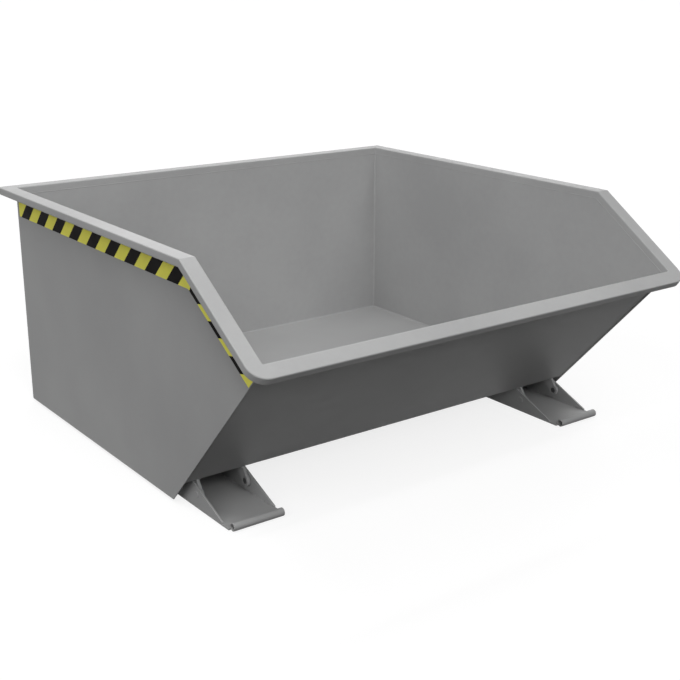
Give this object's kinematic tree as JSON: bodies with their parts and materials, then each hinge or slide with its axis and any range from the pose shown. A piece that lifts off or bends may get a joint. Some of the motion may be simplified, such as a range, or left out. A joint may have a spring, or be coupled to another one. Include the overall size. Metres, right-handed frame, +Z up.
{
  "type": "tipping skip",
  "caption": "Low sheet-steel tipping skip: open body with a sloping chute and a tube rim, hinged at the front on a base of fork pockets, with a hand-worked latch behind.",
  "frame": {"origin": "on the ground, under the middle of the overall box", "axes": "+Z up, the pouring lip faces -Y, +X is the right side seen from the front"},
  "size_m": [1.334, 1.3066, 0.626],
  "materials": {
    "grey_paint": "satin grey enamel on sheet steel",
    "bare_steel": "plain dark steel, lightly oiled",
    "hazard_tape": "yellow and black diagonal stripes",
    "grip_plastic": "dipped black plastic"
  },
  "bodies": {
    "base": {"left_sole_plate": "grey_paint", "left_outer_cheek": "grey_paint", "left_inner_cheek": "grey_paint", "left_pocket_cover": "grey_paint", "left_nose_tube": "grey_paint", "left_hinge_pins": "bare_steel", "right_sole_plate": "grey_paint", "right_outer_cheek": "grey_paint", "right_inner_cheek": "grey_paint", "right_pocket_cover": "grey_paint", "right_nose_tube": "grey_paint", "right_hinge_pins": "bare_steel", "rear_cross_tube": "grey_paint", "middle_cross_tube": "grey_paint", "latch_bracket": "grey_paint", "latch_pivot_pin": "bare_steel", "latch_pin_clip": "bare_steel", "latch_stop": "grey_paint"},
    "skip": {"back_wall": "grey_paint", "floor_plate": "grey_paint", "chute_plate": "grey_paint", "back_rim": "grey_paint", "lip_rim": "grey_paint", "floor_ribs": "grey_paint", "latch_keeper": "bare_steel", "left_side_wall": "grey_paint", "left_rim": "grey_paint", "left_slope_rim": "grey_paint", "left_corner_bend": "grey_paint", "left_hinge_lugs": "grey_paint", "left_hazard_tape": "hazard_tape", "right_side_wall": "grey_paint", "right_rim": "grey_paint", "right_slope_rim": "grey_paint", "right_corner_bend": "grey_paint", "right_hinge_lugs": "grey_paint", "right_hazard_tape": "hazard_tape"},
    "latch": {"latch_hook": "bare_steel", "latch_grip": "grip_plastic"}
  },
  "joints": [
    {"name": "skip_tip", "type": "hinge", "parent": "base", "child": "skip", "pos_m": [0, -0.28333, 0.034], "axis": [1, 0, 0], "range_deg": [0, 63]},
    {"name": "latch_swing", "type": "hinge", "parent": "base", "child": "latch", "pos_m": [0, 0.63126, 0.08], "axis": [0, 1, 0], "range_deg": [0, 30]}
  ]
}
